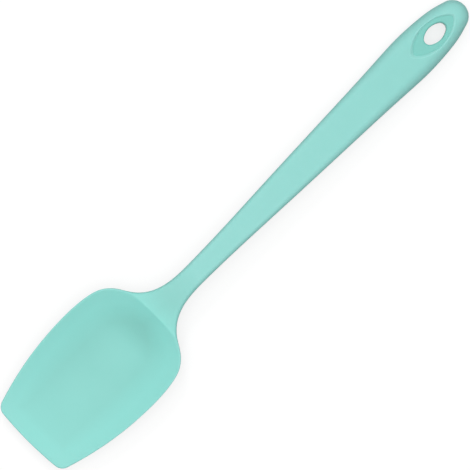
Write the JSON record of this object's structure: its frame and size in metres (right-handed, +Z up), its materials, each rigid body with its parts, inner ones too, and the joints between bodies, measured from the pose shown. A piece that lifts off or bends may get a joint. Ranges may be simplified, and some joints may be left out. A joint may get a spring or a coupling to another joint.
{
  "type": "silicone spatula",
  "caption": "One-piece silicone spoon spatula with a shallow bowl, a thin straight scraping tip, a stiffened tapering handle and an oval hanging hole.",
  "frame": {"origin": "middle of the spatula's length and width, on the table that it lies on", "axes": "+X from the blade's tip to the hanging end, +Z up out of the open bowl, +Y to the left seen from the tip"},
  "size_m": [0.27, 0.055, 0.0142],
  "materials": {
    "silicone": "soft satin matte, mint green",
    "core_steel": "rolled stainless strip"
  },
  "bodies": {
    "root": {"silicone_body": "silicone", "steel_core": "core_steel"}
  },
  "joints": []
}
